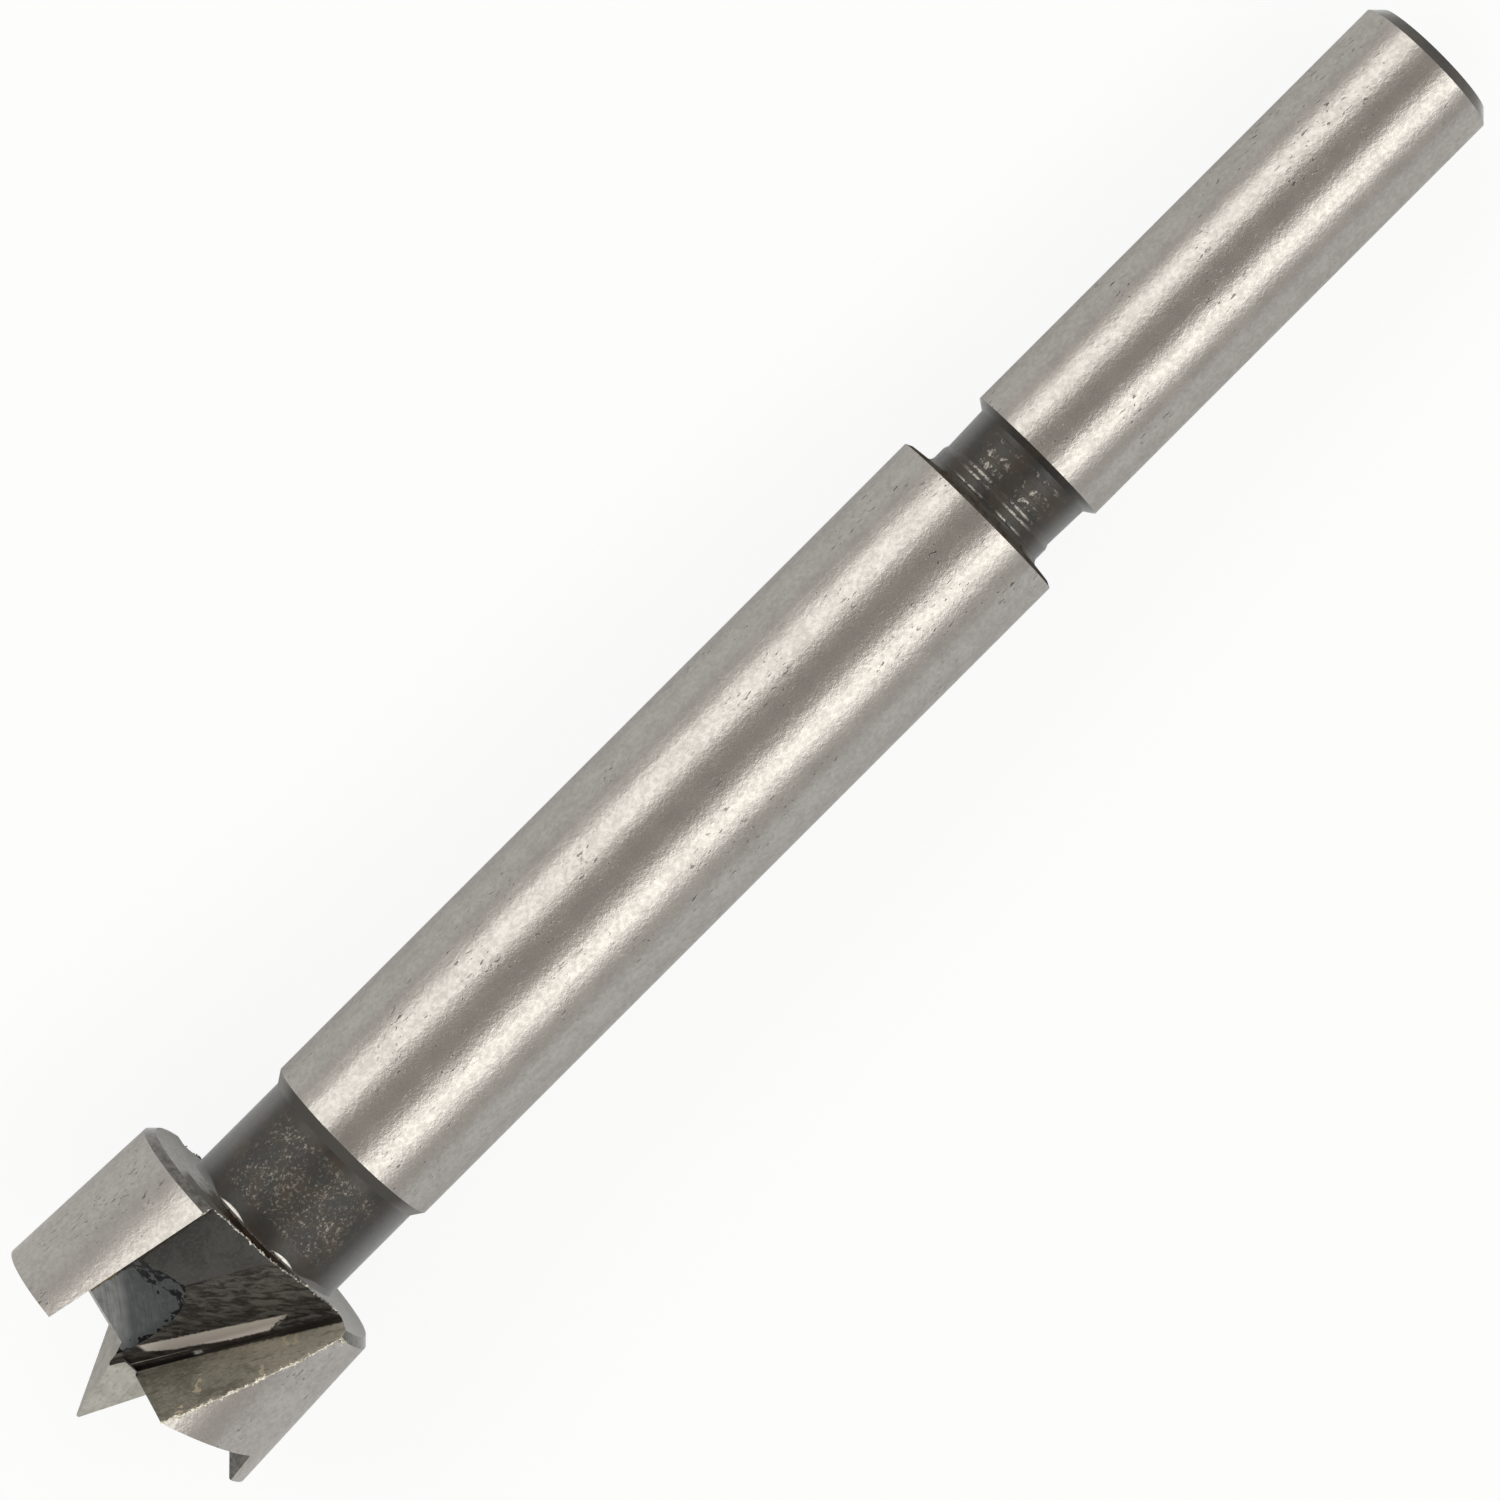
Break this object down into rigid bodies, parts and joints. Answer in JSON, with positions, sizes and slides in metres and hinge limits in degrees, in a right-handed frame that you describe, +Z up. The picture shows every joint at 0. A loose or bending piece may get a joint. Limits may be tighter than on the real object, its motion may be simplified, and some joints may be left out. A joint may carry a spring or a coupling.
{
  "type": "forstner bit",
  "caption": "Steel cylinder-head drill bit for flat-bottomed holes in wood, with a centre point, scoring spurs, gullets and a round shank.",
  "frame": {"origin": "middle of the box round the bit, on the bench that it lies on", "axes": "+X along the bit from the centre point to the shank, +Z up from the bench"},
  "size_m": [0.094, 0.016, 0.0149],
  "materials": {
    "steel": "ground steel, with black oxide left in the gullets, neck and groove"
  },
  "bodies": {
    "root": {"forstner_bit": "steel"}
  },
  "joints": []
}
